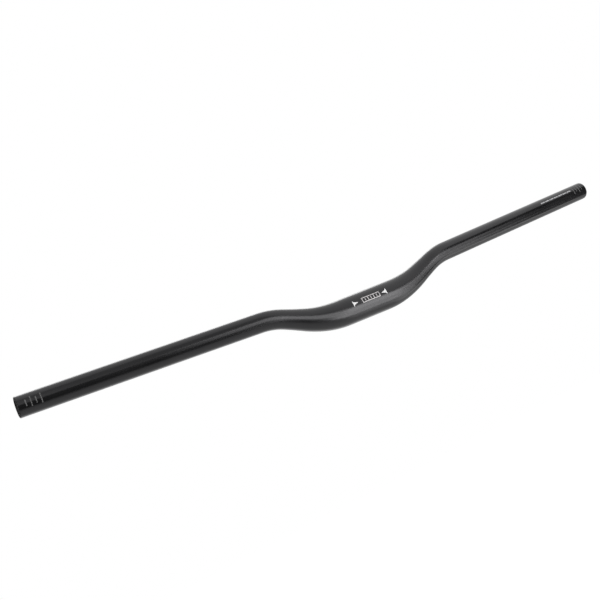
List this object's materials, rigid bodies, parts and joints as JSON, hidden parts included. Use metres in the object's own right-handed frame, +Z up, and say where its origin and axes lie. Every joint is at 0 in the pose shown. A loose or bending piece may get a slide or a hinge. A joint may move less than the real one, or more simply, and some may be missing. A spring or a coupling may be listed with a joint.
{
  "type": "bicycle handlebar",
  "caption": "Riser handlebar: a butted aluminium tube that tapers from its clamp zone to the grips and bends twice on each side, up and then slightly back.",
  "frame": {"origin": "middle of the clamp zone, on the tube's axis", "axes": "+X along the bar to the rider's left, +Y back to the rider, +Z up"},
  "size_m": [0.802, 0.0515, 0.06],
  "materials": {
    "bar_finish": "satin black anodised"
  },
  "bodies": {
    "root": {"handlebar": "bar_finish"}
  },
  "joints": []
}
